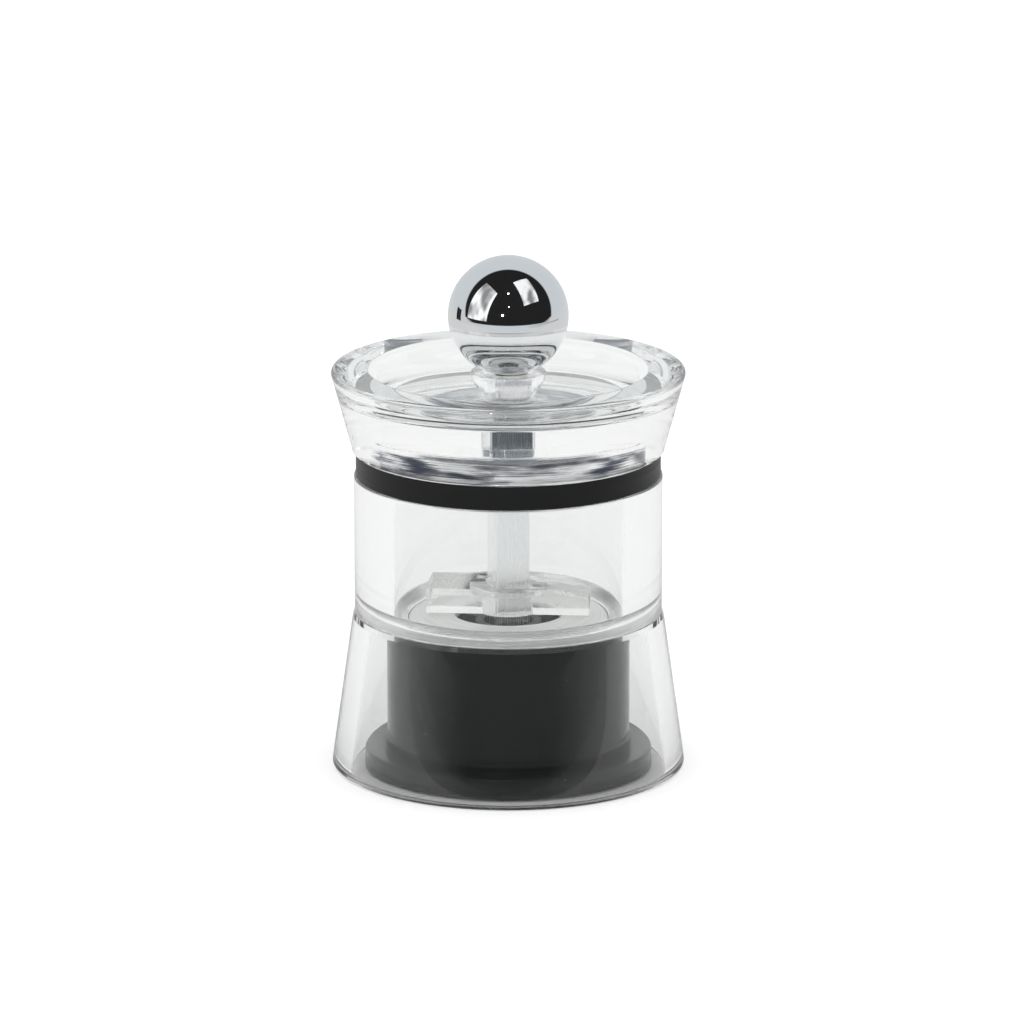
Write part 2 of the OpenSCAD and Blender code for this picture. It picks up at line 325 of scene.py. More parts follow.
def acrylic_look():
    """Polished clear acrylic: slow waves of the polish, hairline scratches and a few specks of dust."""
    look = Look("clear_acrylic", Base_Color=CLEAR_TINT, IOR=ACRYLIC_IOR, Transmission_Weight=1.0)
    waves = look.noise(look.place(), 0.22, 2.0)
    fine = look.noise(look.around(1.5, 1.2, 1.2), 1.0, 4.0)
    dust = look.specks(2.4, 0.09, 0.12)
    look.set(look.shader, Roughness=look.ramp(fine, 0.55, 0.8, 0.0, 0.05))
    look.set(look.shader, Normal=look.bump(dust, 0.02, 0.6, look.bump(waves, POLISH_WAVE)))
    return look.let_lamps_through()


CUT_CLARITY = 0.85
CUT_DEPTH = 0.08


def machined_look():
    """Clear acrylic left as the lathe tool cut it, with streaks round the axis."""
    look = Look("machined_acrylic", IOR=ACRYLIC_IOR, Transmission_Weight=CUT_CLARITY, Roughness=0.25)
    streaks = look.noise(look.around(1.6, 2.0, 0.0), 1.0, 6.0, 0.65)
    look.set(look.shader, Base_Color=look.mix(look.ramp(streaks, 0.4, 0.6), grey(0.3), grey(0.68)))
    look.set(look.shader, Normal=look.bump(streaks, CUT_DEPTH))
    return look.let_lamps_through()


SCORED_TOP = 56.0  # the level where the cut wall's streaks end
# painted reflection: the blue-black tone of the cut wall's streaks stands in for the dark room reflected
# in it
PAINTED_DARK_REFLECTION = (0.02, 0.028, 0.055, 1)
STREAK_BRIGHT = (0.95, 0.955, 0.97, 1)


def scored_look():
    """The lathe-cut wall of the lid's cavity: streaks of metal stand in for its reflections, the
    blue-black ones a painted reflection of the dark room and the bright ones mirroring like metal.
    """
    look = Look("scored_acrylic", IOR=ACRYLIC_IOR, Transmission_Weight=1.0)
    level = look.place_parts()[2]
    fine = look.noise(look.around(1.1, 7.0, 0.0), 1.0, 5.0, 0.65)
    broad = look.noise(look.around(1.5, 0.5, 0.0), 1.0, 2.0)
    edge = look.math("ADD", level, look.math("MULTIPLY", fine, 1.2))
    below_top = look.ramp(edge, SCORED_TOP + 0.7, SCORED_TOP + 0.4)
    share = look.math("MULTIPLY", look.ramp(fine, 0.28, 0.4), below_top)
    tone = look.math("ADD", look.math("MULTIPLY", fine, 0.8), broad)
    # the dark streaks are painted reflection, the bright ones metal that mirrors the room
    metal_and_painted_reflection = look.mix(look.ramp(tone, 0.80, 1.04), PAINTED_DARK_REFLECTION, STREAK_BRIGHT)
    look.set(look.shader, Metallic=share, Base_Color=look.mix(share, CLEAR_TINT, metal_and_painted_reflection))
    look.set(look.shader, Roughness=look.ramp(fine, 0.3, 0.7, 0.1, 0.25))
    look.set(look.shader, Normal=look.bump(fine, 0.03))
    return look.let_lamps_through()


def trim_look(name, tint, depth, roughness):
    """Moulded clear plastic with flow marks and tiny bubbles."""
    look = Look(name, Base_Color=tint, IOR=ACRYLIC_IOR, Transmission_Weight=1.0, Roughness=roughness)
    flow = look.noise(look.place(), 0.9, 4.0, 0.6)
    bubbles = look.specks(0.9, 0.16, 0.25)
    look.set(look.shader, Normal=look.bump(bubbles, 0.05, 1.0, look.bump(flow, depth)))
    return look.let_lamps_through()


HOUSING_GLOSS = 0.25
RING_GLOSS = 0.3


def housing_look():
    """Black gloss plastic with dust specks and hairline scratches."""
    look = Look("black_gloss", IOR=1.5, Specular_IOR_Level=HOUSING_GLOSS)
    mottle = look.noise(look.place(), 0.35, 3.0)
    dust = look.specks(2.6, 0.11, 0.35)
    hairs = look.ramp(look.noise(look.around(18.0, 0.5, 0.0), 1.0, 2.0), 0.74, 0.8)
    dirt = look.math("MAXIMUM", dust, look.math("MULTIPLY", hairs, 0.35))
    base = look.mix(look.ramp(mottle, 0.3, 0.7), grey(0.003, 0.1), grey(0.006, 0.1))
    look.set(look.shader, Base_Color=look.mix(dirt, base, grey(0.5)))
    look.set(look.shader, Roughness=look.ramp(mottle, 0.2, 0.8, 0.12, 0.24))
    look.set(look.shader, Normal=look.bump(dirt, 0.02, 0.5))
    return look


def ring_look():
    """Satin black plastic with fine turning lines."""
    look = Look("black_satin", IOR=1.45, Specular_IOR_Level=RING_GLOSS)
    lines = look.noise(look.around(0.6, 9.0, 3.0), 1.0, 3.0)
    look.set(look.shader, Roughness=look.ramp(lines, 0.25, 0.75, 0.32, 0.48))
    look.set(look.shader, Base_Color=look.mix(lines, grey(0.003, 0.05), grey(0.007, 0.05)))
    look.set(look.shader, Normal=look.bump(lines, 0.006))
    return look


def chrome_look():
    """Mirror chrome with a trace of fine polishing marks."""
    look = Look("mirror_chrome", Base_Color=(0.83, 0.84, 0.86, 1), Metallic=1.0)
    marks = look.noise(look.place(), 1.2, 5.0)
    smudge = look.noise(look.place(), 0.12, 2.0)
    look.set(look.shader, Roughness=look.ramp(look.math("ADD", marks, smudge), 0.8, 1.3, 0.015, 0.05))
    look.set(look.shader, Base_Color=look.mix(smudge, (0.80, 0.81, 0.83, 1), (0.87, 0.88, 0.89, 1)))
    look.set(look.shader, Normal=look.bump(marks, 0.0006))
    return look


def brushed_look():
    """Brushed steel with streaks along X."""
    look = Look("brushed_steel", Metallic=1.0)
    streaks = look.noise(look.scaled(look.place(), (0.3, 7.0, 7.0)), 1.0, 5.0, 0.6)
    look.set(look.shader, Base_Color=look.mix(streaks, (0.50, 0.51, 0.52, 1), (0.62, 0.63, 0.64, 1)))
    look.set(look.shader, Roughness=look.ramp(streaks, 0.3, 0.7, 0.16, 0.3))
    look.set(look.shader, Normal=look.bump(streaks, 0.002))
    return look


def bar_look():
    """Drawn square bar: fine draw lines, and painted shade, a darker blue-grey, on the length that sits
    inside the lid.
    """
    look = Look("drawn_bar", Metallic=1.0)
    lines = look.noise(look.scaled(look.place(), (9.0, 9.0, 0.12)), 1.0, 5.0, 0.6)
    level = look.place_parts()[2]
    # painted shade: the bar turns darker blue-grey where it sits inside the lid, standing in for the shade
    # in the lid's bore
    painted_shade_in_lid = look.math("MULTIPLY", look.ramp(level, hub_z, cavity_z), look.ramp(level, seat_z + 1.0, seat_z))
    plain = look.mix(lines, (0.85, 0.86, 0.87, 1), (0.91, 0.91, 0.92, 1))
    painted_shade_tone = look.mix(lines, (0.20, 0.23, 0.26, 1), (0.34, 0.37, 0.40, 1))
    look.set(look.shader, Base_Color=look.mix(painted_shade_in_lid, plain, painted_shade_tone))
    look.set(look.shader, Roughness=look.ramp(lines, 0.3, 0.7, 0.18, 0.3))
    look.set(look.shader, Normal=look.bump(lines, 0.0005))
    return look


def turned_look(name, dark, light, roughness=(0.14, 0.26)):
    """Turned metal with lines round the Z axis."""
    look = Look(name, Metallic=1.0)
    lines = look.noise(look.around(0.3, 7.0, 7.0), 1.0, 3.0)
    look.set(look.shader, Base_Color=look.mix(lines, dark, light))
    look.set(look.shader, Roughness=look.ramp(lines, 0.3, 0.7, *roughness))
    look.set(look.shader, Normal=look.bump(lines, 0.006))
    return look


def ceramic_look():
    """Fine ground white ceramic with a faint glaze and turning marks."""
    look = Look("white_ceramic", Coat_Weight=0.4, Coat_Roughness=0.12, IOR=1.6)
    lines = look.noise(look.around(1.0, 4.0, 5.0), 1.0, 5.0, 0.65)
    grain = look.noise(look.place(), 6.0, 3.0)
    tone = look.ramp(lines, 0.32, 0.68)
    look.set(look.shader, Base_Color=look.mix(tone, (0.66, 0.66, 0.65, 1), (0.97, 0.97, 0.96, 1)))
    look.set(look.shader, Roughness=look.ramp(grain, 0.3, 0.7, 0.25, 0.4))
    look.set(look.shader, Normal=look.bump(look.math("ADD", lines, grain), 0.01))
    return look


def dull_look(name, dark, light, roughness):
    """Matt rubber or nylon with a fine moulded grain."""
    look = Look(name)
    grain = look.noise(look.place(), 2.0, 4.0)
    look.set(look.shader, Base_Color=look.mix(grain, dark, light))
    look.set(look.shader, Roughness=look.ramp(grain, 0.3, 0.7, roughness - 0.08, roughness + 0.08))
    look.set(look.shader, Normal=look.bump(grain, 0.01))
    return look


acrylic = acrylic_look().material
machined = machined_look().material
scored = scored_look().material
seat_plastic = trim_look("seat_plastic", (0.98, 0.985, 0.985, 1), 0.03, 0.02).material
trim = trim_look("moulded_clear", (0.96, 0.975, 0.975, 1), 0.015, 0.03).material
impeller_plastic = trim_look("moulded_impeller", (0.96, 0.965, 0.96, 1), 0.06, 0.01).material
black_gloss = housing_look().material
black_satin = ring_look().material
chrome = chrome_look().material
# painted light: a pale matt colour for the ring's inner faces, standing in for the light seen on them
# through the clear walls
painted_light_face = dull_look("painted_light_matt", grey(0.8), grey(0.9), 0.5).material
aluminium = bar_look().material
steel = brushed_look().material
spring_steel = turned_look("spring_steel", (0.45, 0.46, 0.47, 1), (0.6, 0.61, 0.62, 1)).material
brass = turned_look("turned_brass", (0.62, 0.46, 0.2, 1), (0.78, 0.6, 0.3, 1)).material
stud_steel = turned_look("rolled_steel", (0.42, 0.43, 0.44, 1), (0.6, 0.61, 0.62, 1), (0.2, 0.34))
stud_steel = stud_steel.material
ceramic = ceramic_look().material
silicone = dull_look("white_silicone", grey(0.72), grey(0.82), 0.35).material
nylon = dull_look("black_nylon", grey(0.012), grey(0.022), 0.5).material


# ---------------------------------------------------------------- clear shells


CLEAR = 0.02  # gap between two faces that would otherwise coincide
LIP_TOP = 1.7
LIP_EDGE = 0.2
RIM_ROUND = 0.7
RIM_TOP_ROUND = 0.3
LID_EDGE = 0.3
CAVITY_ROUND = 0.5
BAND_WIDTH = 2.4


def build_hopper():
    """A tube with a bevelled lip at the bottom of its bore; the bevel is left as it was cut."""
    low, high = joint_z + CLEAR, rim_z - CLEAR
    profile = rounded(
        [(lip_r, low), (hopper_r, low), (hopper_r, high), (bore_r, high), (bore_r, low + LIP_TOP),
         (lip_r, low + LIP_EDGE)],
        [0.05, 0.35, 0.3, 0.3, 0.4, 0.05],
    )

    def pick(r, z):
        return 1 if lip_r + 0.05 < r < bore_r - 0.05 and low + 0.1 < z < joint_z + 3 else 0

    lathe("hopper", profile, "body", ["hopper_body"], [acrylic, machined], pick)


def build_skirt():
    """The hollow cone that the mill stands on."""
    profile = rounded(
        [(base_r - skirt_wall, 0.0), (base_r, 0.0), (skirt_top_r, skirt_top_z - 0.8),
         (skirt_top_r - 0.35, skirt_top_z), (skirt_top_r - skirt_wall, skirt_top_z)],
        [0.3, 0.6, 0.2, 0.1, 0.1],
    )
    lathe("skirt", profile, "body", ["base_skirt"], [acrylic])


def build_lid():
    """The flared head with its dish above and its cavity, whose wall is left as it was cut, below."""
    slope = (lid_edge_r - lid_low_r) / (lid_top_z - lid_z)
    lean = math.atan(slope)
    round_x = lid_edge_r - RIM_ROUND * (slope * (1 + math.sin(lean)) + math.cos(lean))
    corner_r, corner_z = cavity_r - CAVITY_ROUND, cavity_z - CAVITY_ROUND
    profile = [(lid_bore_r, cavity_z), (corner_r, cavity_z)]
    profile += arc(corner_r, corner_z, CAVITY_ROUND, 90, 0, 4)
    profile += [(cavity_r, spigot_z), (spigot_r - LID_EDGE, spigot_z), (spigot_r, spigot_z + LID_EDGE)]
    profile += [(spigot_r, lid_z + CLEAR), (lid_low_r - LID_EDGE, lid_z + CLEAR)]
    profile += [(lid_low_r + slope * LID_EDGE, lid_z + LID_EDGE)]
    profile += arc(round_x, lid_top_z - RIM_ROUND, RIM_ROUND, -math.degrees(lean), 90, 12)
    profile += arc(dish_r + RIM_TOP_ROUND, lid_top_z - RIM_TOP_ROUND, RIM_TOP_ROUND, 90, 180, 4)
    profile += arc(dish_r - cove_r, dish_z + cove_r, cove_r, 0, -90, 14)
    profile += [(lid_bore_r, dish_z)]

    def pick(r, z):
        return 1 if abs(r - cavity_r) < 0.1 and z < corner_z else 0

    lathe("lid_shell", profile, "head", ["lid"], [acrylic, scored], pick)


def build_ring():
    """The bearing ring: a black band outside and, inside it, pale faces that are painted light, standing
    in for the light seen on them through the clear walls.
    """
    inside = ring_r - BAND_WIDTH
    profile = rounded(
        [(bore_r, rim_z), (inside, rim_z), (ring_r, rim_z), (ring_r, lid_z), (inside, lid_z),
         (bore_r, lid_z)],
        [0.15, 0, 0.15, 0.15, 0, 0.15], 3,
    )

    def pick(r, z):
        # the inner faces get the painted light
        return 0 if r > inside else 1

    lathe("ring", profile, "collar", ["bearing_ring"], [black_satin, painted_light_face], pick)


def build_seat():
    """The clear bowl between the lid and the ball."""
    low, top = seat_z + CLEAR, seat_top_z
    profile = rounded(
        [(lid_bore_r, low), (4.3, low), (4.9, seat_z + 1.0), (5.8, seat_z + 2.4),
         (seat_r, seat_z + 3.4), (seat_r, top), (lid_bore_r, top)],
        [0, 0, 1.0, 1.0, 0.3, 0.3, 0.05],
    )
    lathe("seat", profile, "head", ["knob_seat"], [seat_plastic])


BALL_FLAT_R = 3.6
BALL_HOLE_R = 3.3
BALL_HOLE_DEEP = 9.3


def build_ball():
    """The chrome ball with a small flat below and the hole for its threaded insert."""
    start = -math.degrees(math.acos(BALL_FLAT_R / ball_r))
    hole_top = ball_low_z + BALL_HOLE_DEEP
    profile = [(BALL_HOLE_R, ball_low_z), *arc(0, ball_top_z - ball_r, ball_r, start, 90, 72)]
    profile[-1] = (0.0, ball_top_z)
    profile += [(0.0, hole_top), (BALL_HOLE_R, hole_top)]
    lathe("ball", profile, "knob", ["knob_ball"], [chrome])


FLANGE_HIGH = 3.6
COLLAR_HIGH = 5.2
COLLAR_BEVEL = 0.2
SLOT_GAP = 0.2
SCREW_AT = 17.9
SCREW_R = 0.95
SCREW_DEEP = 8.0
UNDERCUT = 1.0  # how far a cutting shape reaches below the frame


def drill(x, radius, top):
    """The shape of a drilled hole that comes up from below the frame."""
    bm = bmesh.new()
    sizes = {"radius1": radius * MM, "radius2": radius * MM, "depth": (top + UNDERCUT) * MM}
    bmesh.ops.create_cone(bm, cap_ends=True, segments=48, **sizes)
    bmesh.ops.translate(bm, verts=bm.verts, vec=Vector((x, 0, (top - UNDERCUT) / 2)) * MM)
    return bm


def bridge_slot():
    """The shape of the slot across the outlet that the bridge bar lies in."""
    bar_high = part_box("bridge_bar")[1]
    reach_x, reach_y = bar_high.x + SLOT_GAP * MM, bar_high.y + SLOT_GAP * MM
    bm = bmesh.new()
    bmesh.ops.create_cube(bm, size=1)
    for vert in bm.verts:
        level = -UNDERCUT * MM if vert.co.z < 0 else bar_high.z
        vert.co = Vector((vert.co.x * 2 * reach_x, vert.co.y * 2 * reach_y, level))
    return bm


def carve(piece, shapes):
    """Cuts closed shapes out of a piece and keeps its smooth shading."""
    cutters = []
    for shape in shapes:
        mesh = bpy.data.meshes.new("cutter")
        shape.to_mesh(mesh)
        shape.free()
        cutter = bpy.data.objects.new("cutter", mesh)
        scene.collection.objects.link(cutter)
        cutters.append(cutter)
        cut = piece.modifiers.new("cut", "BOOLEAN")
        cut.operation = "DIFFERENCE"
        cut.solver = "EXACT"
        cut.object = cutter
    bpy.context.view_layer.update()
    carved = bpy.data.meshes.new_from_object(piece.evaluated_get(bpy.context.evaluated_depsgraph_get()))
    piece.modifiers.clear()
    piece.data = carved
    carved.shade_smooth()
    carved.set_sharp_from_angle(angle=SHARP)
    for cutter in cutters:
        bpy.data.objects.remove(cutter)


def build_housing():
    """A cylinder with a collar and a flange at its foot, and the slot and holes of the bridge bar."""
    top, flange_top, collar_top = housing_top_z, flange_z + FLANGE_HIGH, flange_z + COLLAR_HIGH
    profile = rounded(
        [(outlet_r, flange_z), (flange_r, flange_z), (flange_r, flange_top), (collar_r, flange_top),
         (collar_r, collar_top), (housing_r, collar_top + COLLAR_BEVEL), (housing_r, top),
         (burr_bore_r, top), (burr_bore_r, ledge_z), (outlet_r, ledge_z)],
        [0.1, 0.4, 0.4, 0.1, 0.15, 0.1, 0.2, 0.1, 0, 0],
    )
    piece = lathe("housing", profile, "body", ["mechanism_housing"], [black_gloss])
    carve(piece, [bridge_slot(), *[drill(side * SCREW_AT, SCREW_R, SCREW_DEEP) for side in (-1, 1)]])


# ---------------------------------------------------------------- spindle, stud and hub


BAR_EDGE = 0.22
JOURNAL_R = 2.5
JOURNAL_Z = (1.5, 9.1)
GROOVE_R = 1.9
GROOVE_Z = (7.3, 8.0)


def squared(bm, width, z0, z1, turn, bevel):
    """A square bar with eased edges, turned about Z, in an empty bmesh."""
    bmesh.ops.create_cube(bm, size=1)
    for v in bm.verts:
        v.co = Vector((v.co.x * width * MM, v.co.y * width * MM, (z0 if v.co.z < 0 else z1) * MM))
    bmesh.ops.bevel(bm, geom=bm.edges[:], offset=bevel * MM, segments=3, affect="EDGES", profile=0.5)
    bmesh.ops.rotate(bm, verts=bm.verts[:], cent=(0, 0, 0), matrix=Matrix.Rotation(turn, 3, "Z"))


def build_spindle():
    """The square bar, and below it the round journal with the groove of the retaining clip."""
    bm = bmesh.new()
    squared(bm, bar_w, JOURNAL_Z[1], span("spindle")[2], bar_turn, BAR_EDGE)
    stub = rounded(
        [(0, JOURNAL_Z[0]), (JOURNAL_R, JOURNAL_Z[0]), (JOURNAL_R, GROOVE_Z[0]), (GROOVE_R, GROOVE_Z[0]),
         (GROOVE_R, GROOVE_Z[1]), (JOURNAL_R, GROOVE_Z[1]), (JOURNAL_R, JOURNAL_Z[1]), (0, JOURNAL_Z[1])],
        [0, 0.3, 0.1, 0.05, 0.05, 0.1, 0, 0], 3,
    )
    lathe_into(bm, stub, 96)
    bar = finish_mesh("spindle_bar", bm, "drive", ["spindle"], [aluminium])
    even = bar.modifiers.new("even_shading", "WEIGHTED_NORMAL")
    even.keep_sharp = True


STUD_PITCH = 0.8
STUD_DEPTH = 0.42
STUD_CHAMFER = 0.9  # how fast the tip narrows, in radius for each millimetre of height
FLANK = 1.25  # the thread's shape: slope of its flanks, and the share cut off to flatten its crest
CREST = 0.12
ROWS_PER_TURN = 12
STUD_SIDES = 60


def build_stud():
    """The M5 stud, its thread cut as a helix and its tip chamfered."""
    crest_r, low, high = span("spindle_stud")
    root_r = crest_r - STUD_DEPTH
    count = math.ceil((high - low) / STUD_PITCH * ROWS_PER_TURN)
    bm = bmesh.new()
    rings = []
    for i in range(count + 1):
        z = low + (high - low) * i / count
        ring = []
        for k in range(STUD_SIDES):
            phase = (z / STUD_PITCH - k / STUD_SIDES) % 1
            cut = min(1.0, max(0.0, FLANK * (1 - abs(2 * phase - 1)) - CREST))
            r = min(crest_r - STUD_DEPTH * cut, root_r + STUD_CHAMFER * (high - z))
            a = 2 * math.pi * k / STUD_SIDES
            ring.append(bm.verts.new((r * math.cos(a) * MM, r * math.sin(a) * MM, z * MM)))
        rings.append(ring)
    for lower, upper in zip(rings, rings[1:]):
        for k in range(STUD_SIDES):
            n = (k + 1) % STUD_SIDES
            bm.faces.new((lower[k], lower[n], upper[n], upper[k]))
    bm.faces.new(rings[0][::-1])
    bm.faces.new(rings[-1])
    finish_mesh("stud", bm, "drive", ["spindle_stud"], [stud_steel])


HUB_GAP = 0.05  # between the bar and each side of the hub's square hole


def build_hub():
    """A round hub with a square hole through it, and a short spigot that centres it in the lid."""
    bore, half = lid_bore_r - 0.1, bar_w / 2 + HUB_GAP
    spigot, shoulder = lid_bore_r - 0.01, cavity_z - CLEAR
    profile = rounded(
        [(bore, hub_z), (hub_r, hub_z), (hub_r, shoulder), (spigot, shoulder), (spigot, hub_top_z),
         (bore, hub_top_z)],
        [0.0, 0.4, 0.1, 0.0, 0.02, 0.0],
    )
    bm = bmesh.new()
    lathe_into(bm, profile)
    for vert in bm.verts:
        if math.hypot(vert.co.x, vert.co.y) < (bore + 0.001) * MM:
            angle = math.atan2(vert.co.y, vert.co.x) - bar_turn
            radius = half / max(abs(math.cos(angle)), abs(math.sin(angle)))
            vert.co.xy = Vector((math.cos(angle + bar_turn), math.sin(angle + bar_turn))) * radius * MM
    finish_mesh("hub", bm, "head", ["drive_hub"], [trim])


# ---------------------------------------------------------------- CAD nodes that keep their mesh


def dress(node, material, bevel=0.0):
    """Gives a CAD node its material and, if asked, eased edges."""
    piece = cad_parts[node]
    piece.data.materials.clear()
    piece.data.materials.append(material)
    if bevel:
        easing = piece.modifiers.new("eased_edges", "BEVEL")
        easing.width = bevel * MM
        easing.segments = 2
        easing.limit_method = "ANGLE"
        easing.angle_limit = math.radians(40)
        easing.harden_normals = True


# ---------------------------------------------------------------- stage, camera and light


def flat_plane(name, corners, material):
    """A stage quad from four corners in millimetres."""
    mesh = bpy.data.meshes.new(name)
    mesh.from_pydata([Vector(c) * MM for c in corners], [], [(0, 1, 2, 3)])
    mesh.materials.append(material)
    return stage_object(name, mesh)


def stage_object(name, mesh):
    """Links a mesh as part of the stage."""
    item = bpy.data.objects.new(name, mesh)
    scene.collection.objects.link(item)
    return item


def hide_from(item, *rays):
    """Hides a stage object from the named kinds of ray."""
    for ray in rays:
        setattr(item, "visible_" + ray, False)


FLOOR_HALF = 2600
FLOOR_FRONT = -60  # the floor in front of this is not seen through the clear walls
FLOOR_FADE = (-40, -300)  # where the floor fades out in reflections
FLOOR_LEVEL = -0.05  # just clear of the foot
FLOOR_IN_MIRROR = 0.54  # its tone in reflections


def build_floor():
    """A pale floor, which mirrors see darker, and only near the mill."""
    look = Look("studio_floor", Roughness=0.75, Specular_IOR_Level=0.2)
    cloud = look.noise(look.place(), 0.004, 2.0)
    seen = look.mix(cloud, grey(0.75), grey(0.77))
    direct = look.mix(cloud, grey(0.975), grey(0.99))
    path = look.add("LightPath").outputs
    not_through = look.math("SUBTRACT", 1.0, path["Is Transmission Ray"])
    mirrored = look.math("MULTIPLY", path["Is Glossy Ray"], not_through)
    seen = look.mix(path["Is Camera Ray"], seen, direct)
    look.set(look.shader, Base_Color=look.mix(mirrored, seen, grey(FLOOR_IN_MIRROR)))
    gone = look.math("MULTIPLY", mirrored, look.ramp(look.place_parts()[1], *FLOOR_FADE))
    look.show(gone, look.shader, look.add("BsdfTransparent"))

    def strip(name, near, far):
        corners = [(x, y, FLOOR_LEVEL) for x, y in ((-FLOOR_HALF, near), (FLOOR_HALF, near),
                                                    (FLOOR_HALF, far), (-FLOOR_HALF, far))]
        return flat_plane(name, corners, look.material)

    strip("floor", FLOOR_FRONT, FLOOR_HALF)
    hide_from(strip("floor_front", -FLOOR_HALF, FLOOR_FRONT), "transmission")


def seen_from_knob(azimuth, elevation, distance):
    """A point in millimetres, from its direction in degrees and its distance as seen from the knob."""
    a, e = math.radians(azimuth), math.radians(elevation)
    knob_z = ball_top_z - ball_r
    return (
        distance * math.sin(a) * math.cos(e),
        -distance * math.cos(a) * math.cos(e),
        knob_z + distance * math.sin(e),
    )


LAMP_DISTANCE = 600.0
SPOT_DISTANCE = 580.0  # nearer than the softboxes, which are not seen through clear walls


def lamp_panel(name, corners, strength, streak=0.0, distance=LAMP_DISTANCE):
    """A glowing panel between four directions, with uneven streaks as in a gathered diffuser."""
    look = Look(name)
    folds = look.scaled(look.add("TexCoord").outputs["Generated"], (2.4, 2.4, 0.9))
    uneven = look.noise(folds, 1.0, 1.5, 0.4)
    uneven = look.ramp(uneven, 0.38, 0.6, strength * (1 - streak), strength)
    glow = look.add("Emission", Color=(1, 1, 1, 1), Strength=uneven)
    look.tree.links.new(glow.outputs[0], look.out.inputs["Surface"])
    panel = flat_plane(name, [seen_from_knob(a, e, distance) for a, e in corners], look.material)
    hide_from(panel, "camera", "diffuse", "shadow")
    if distance >= LAMP_DISTANCE:
        hide_from(panel, "transmission")


def spot_panel(name, azimuth, elevation, size, strength):
    """A small square lamp; size is the half width in degrees."""
    offsets = ((-size, -size), (size, -size), (size, size), (-size, size))
    corners = [(azimuth + a / math.cos(math.radians(elevation)), elevation + e) for a, e in offsets]
    lamp_panel(name, corners, strength, distance=SPOT_DISTANCE)


def flag_panel(name, corners, distance):
    """A dark card beside the table that only mirrors see."""
    look = Look(name, Base_Color=grey(0.01), Roughness=0.8)
    card = flat_plane(name, [seen_from_knob(a, e, distance) for a, e in corners], look.material)
    hide_from(card, "camera", "diffuse", "transmission", "shadow")


GLOW_DISTANCE = 450.0
GLOW_HEIGHTS = (-25.0, 15.0)
GLOW_LEFT = 0.65
GLOW_RIGHT = 0.45
GLOW_FADE = (math.radians(25), math.radians(78))  # angles from the front
GLOW_REACH = 110  # degrees to each side


def side_glow():
    """A low curved card round the front of the table, which fades out towards the middle."""
    look = Look("side_glow")
    x, y, _ = look.place_parts()
    aside = look.math("ABSOLUTE", look.math("ARCTAN2", x, look.math("MULTIPLY", y, -1.0)))
    strength = look.ramp(x, -1.0, 1.0, GLOW_LEFT, GLOW_RIGHT)
    glow = look.add("Emission", Color=(1, 1, 1, 1), Strength=strength)
    look.show(look.ramp(aside, *GLOW_FADE), look.add("BsdfTransparent"), glow)
    points = []
    for degrees in range(-GLOW_REACH, GLOW_REACH + 1, 5):
        a = math.radians(degrees)
        x, y = GLOW_DISTANCE * math.sin(a), -GLOW_DISTANCE * math.cos(a)
        points += [Vector((x, y, level)) * MM for level in GLOW_HEIGHTS]
    quads = [(i, i + 2, i + 3, i + 1) for i in range(0, len(points) - 2, 2)]
    mesh = bpy.data.meshes.new("side_glow")
    mesh.from_pydata(points, [], quads)
    mesh.materials.append(look.material)
    hide_from(stage_object("side_glow", mesh), "camera", "diffuse", "shadow")


CAMERA_PLACE = (0.6, -1172.2, 349.3)
CAMERA_TARGET = (0.6, 0.0, 42.1)
SENSOR_WIDTH = 36
FOCAL_LENGTH = 261.7


def build_camera():
    """A long lens at the photograph's viewing angle."""
    data = bpy.data.cameras.new("camera")
    camera = bpy.data.objects.new("camera", data)
    scene.collection.objects.link(camera)
    camera.location = Vector(CAMERA_PLACE) * MM
    gaze = Vector(CAMERA_TARGET) * MM - camera.location
    camera.rotation_euler = gaze.to_track_quat("-Z", "Y").to_euler()
    data.sensor_width = SENSOR_WIDTH
    data.lens = FOCAL_LENGTH
    data.clip_start = 0.01
    scene.camera = camera


# The room's tones: CLEAR ones are seen through clear walls, GLOSS ones in reflections.
ROOM_LIGHT = 1.35  # what lights matt surfaces
BACK_CLEAR = 1.0
FRONT_LOW_CLEAR = 0.1
FRONT_HIGH_CLEAR = 0.85
BACK_GLOSS = (0.66, 0.70, 0.72, 1)
FRONT_GLOSS = 0.018
EDGE_GLOSS = 0.3  # the front edge of the table

# Where they change, as sines of the elevation.
TABLE_LINE = -0.122
TABLE_EDGE = (-0.405, -0.36)
FRONT_CLEARS = (0.06, 0.16)
SOFT = 0.01
LEANING = (0, -0.934, 0.357)  # the middle of the room's dark front half


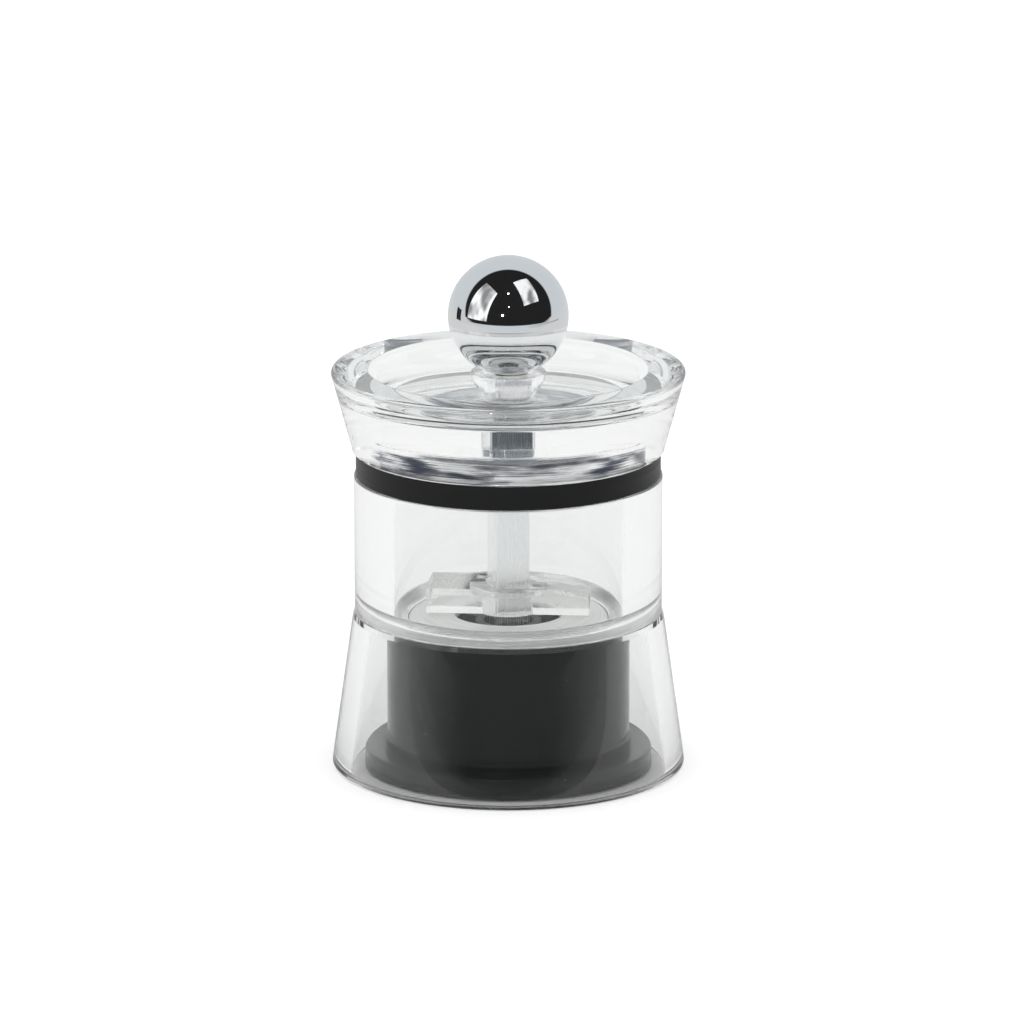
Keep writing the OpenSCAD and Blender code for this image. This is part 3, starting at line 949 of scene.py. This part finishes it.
def build_world():
    """A white room behind and below the table's edge, dark in front, as in a product studio."""
    world = bpy.data.worlds.new("studio")
    scene.world = world
    world.use_nodes = True
    tree = world.node_tree
    tree.nodes.clear()

    def add(kind, *inputs, **settings):
        node = tree.nodes.new("ShaderNode" + kind)
        for key, value in settings.items():
            setattr(node, key, value)
        for socket, value in zip(node.inputs, inputs):
            feed(tree, socket, value)
        return node

    def step(value, low, high):
        return add("MapRange", value, low, high, 0.0, 1.0, interpolation_type="SMOOTHSTEP").outputs[0]

    def times(a, b):
        return add("Math", a, b, operation="MULTIPLY").outputs[0]

    def shade(share, where_not, where_so):
        mixed = add("Mix", data_type="RGBA")
        for number, value in zip(COLOUR_MIX_INPUTS, (share, where_not, where_so)):
            feed(tree, mixed.inputs[number], value)
        return mixed.outputs[COLOUR_MIX_OUTPUT]

    def light(colour):
        return add("Background", colour).outputs[0]

    def choose(ray, otherwise, then):
        return add("MixShader", path[ray], otherwise, then).outputs[0]

    path = add("LightPath").outputs
    direction = add("TexCoord").outputs["Generated"]
    _, back, level = add("SeparateXYZ", direction).outputs
    leaning = add("VectorMath", direction, LEANING, operation="DOT_PRODUCT").outputs["Value"]
    front = step(back, 0.1, -0.1)
    above_table = step(level, TABLE_LINE - SOFT, TABLE_LINE + SOFT)
    under_edge = step(level, TABLE_EDGE[0] - SOFT, TABLE_EDGE[0])
    over_edge = step(level, TABLE_EDGE[1] + SOFT, TABLE_EDGE[1])
    table = shade(times(times(under_edge, over_edge), front), BACK_GLOSS, grey(EDGE_GLOSS))
    room = shade(step(leaning, -0.03, 0.03), BACK_GLOSS, grey(FRONT_GLOSS))
    front_clear = shade(step(level, *FRONT_CLEARS), grey(FRONT_LOW_CLEAR, 0.1), grey(FRONT_HIGH_CLEAR))
    front_clear = shade(above_table, grey(BACK_CLEAR), front_clear)
    through = shade(front, grey(BACK_CLEAR), front_clear)
    shown = choose("Is Glossy Ray", light(grey(ROOM_LIGHT)), light(shade(above_table, table, room)))
    shown = choose("Is Transmission Ray", shown, light(through))
    shown = choose("Is Camera Ray", shown, light(grey(1.0)))
    tree.links.new(shown, add("OutputWorld").inputs[0])


def set_render():
    """The colour view, and as many light bounces as clear walls need."""
    scene.view_settings.view_transform = "Standard"
    scene.cycles.use_denoising = True
    scene.cycles.max_bounces = 32
    scene.cycles.transmission_bounces = 32
    scene.cycles.glossy_bounces = 16
    scene.cycles.transparent_max_bounces = 32
    scene.cycles.caustics_reflective = True
    scene.cycles.caustics_refractive = True


build_hopper()
build_skirt()
build_lid()
build_ring()
build_seat()
build_ball()
build_housing()
build_spindle()
build_hub()
build_stud()

dress("housing_gasket", silicone)
dress("outer_burr", ceramic)
dress("inner_burr", ceramic)
dress("spindle_guide", nylon)
dress("bridge_bar", steel)
dress("bridge_bush", brass)
dress("bridge_screws", steel)
dress("knob_insert", brass)
dress("burr_washer", steel)
dress("retaining_clip", spring_steel)
dress("burr_spring", spring_steel)
dress("feed_impeller", impeller_plastic, 0.3)

build_floor()
lamp_panel("softbox_left", [(-90, 57), (-32, 52), (-42, -1), (-83, -1)], 1.25, 0.75)
lamp_panel("softbox_right", [(33, 76), (103, 63), (70, 28), (34, 28)], 1.1, 0.75)
spot_panel("spot_front", -10.9, 13.1, 1.2, 120.0)
spot_panel("spot_top", 0.0, 54.6, 1.0, 12.0)
spot_panel("spot_middle", 1.0, 28.8, 0.8, 10.0)
flag_panel("flag_left", [(-115, -9), (-101, -9), (-101, 4), (-115, 4)], 450.0)
side_glow()
build_camera()
build_world()
set_render()
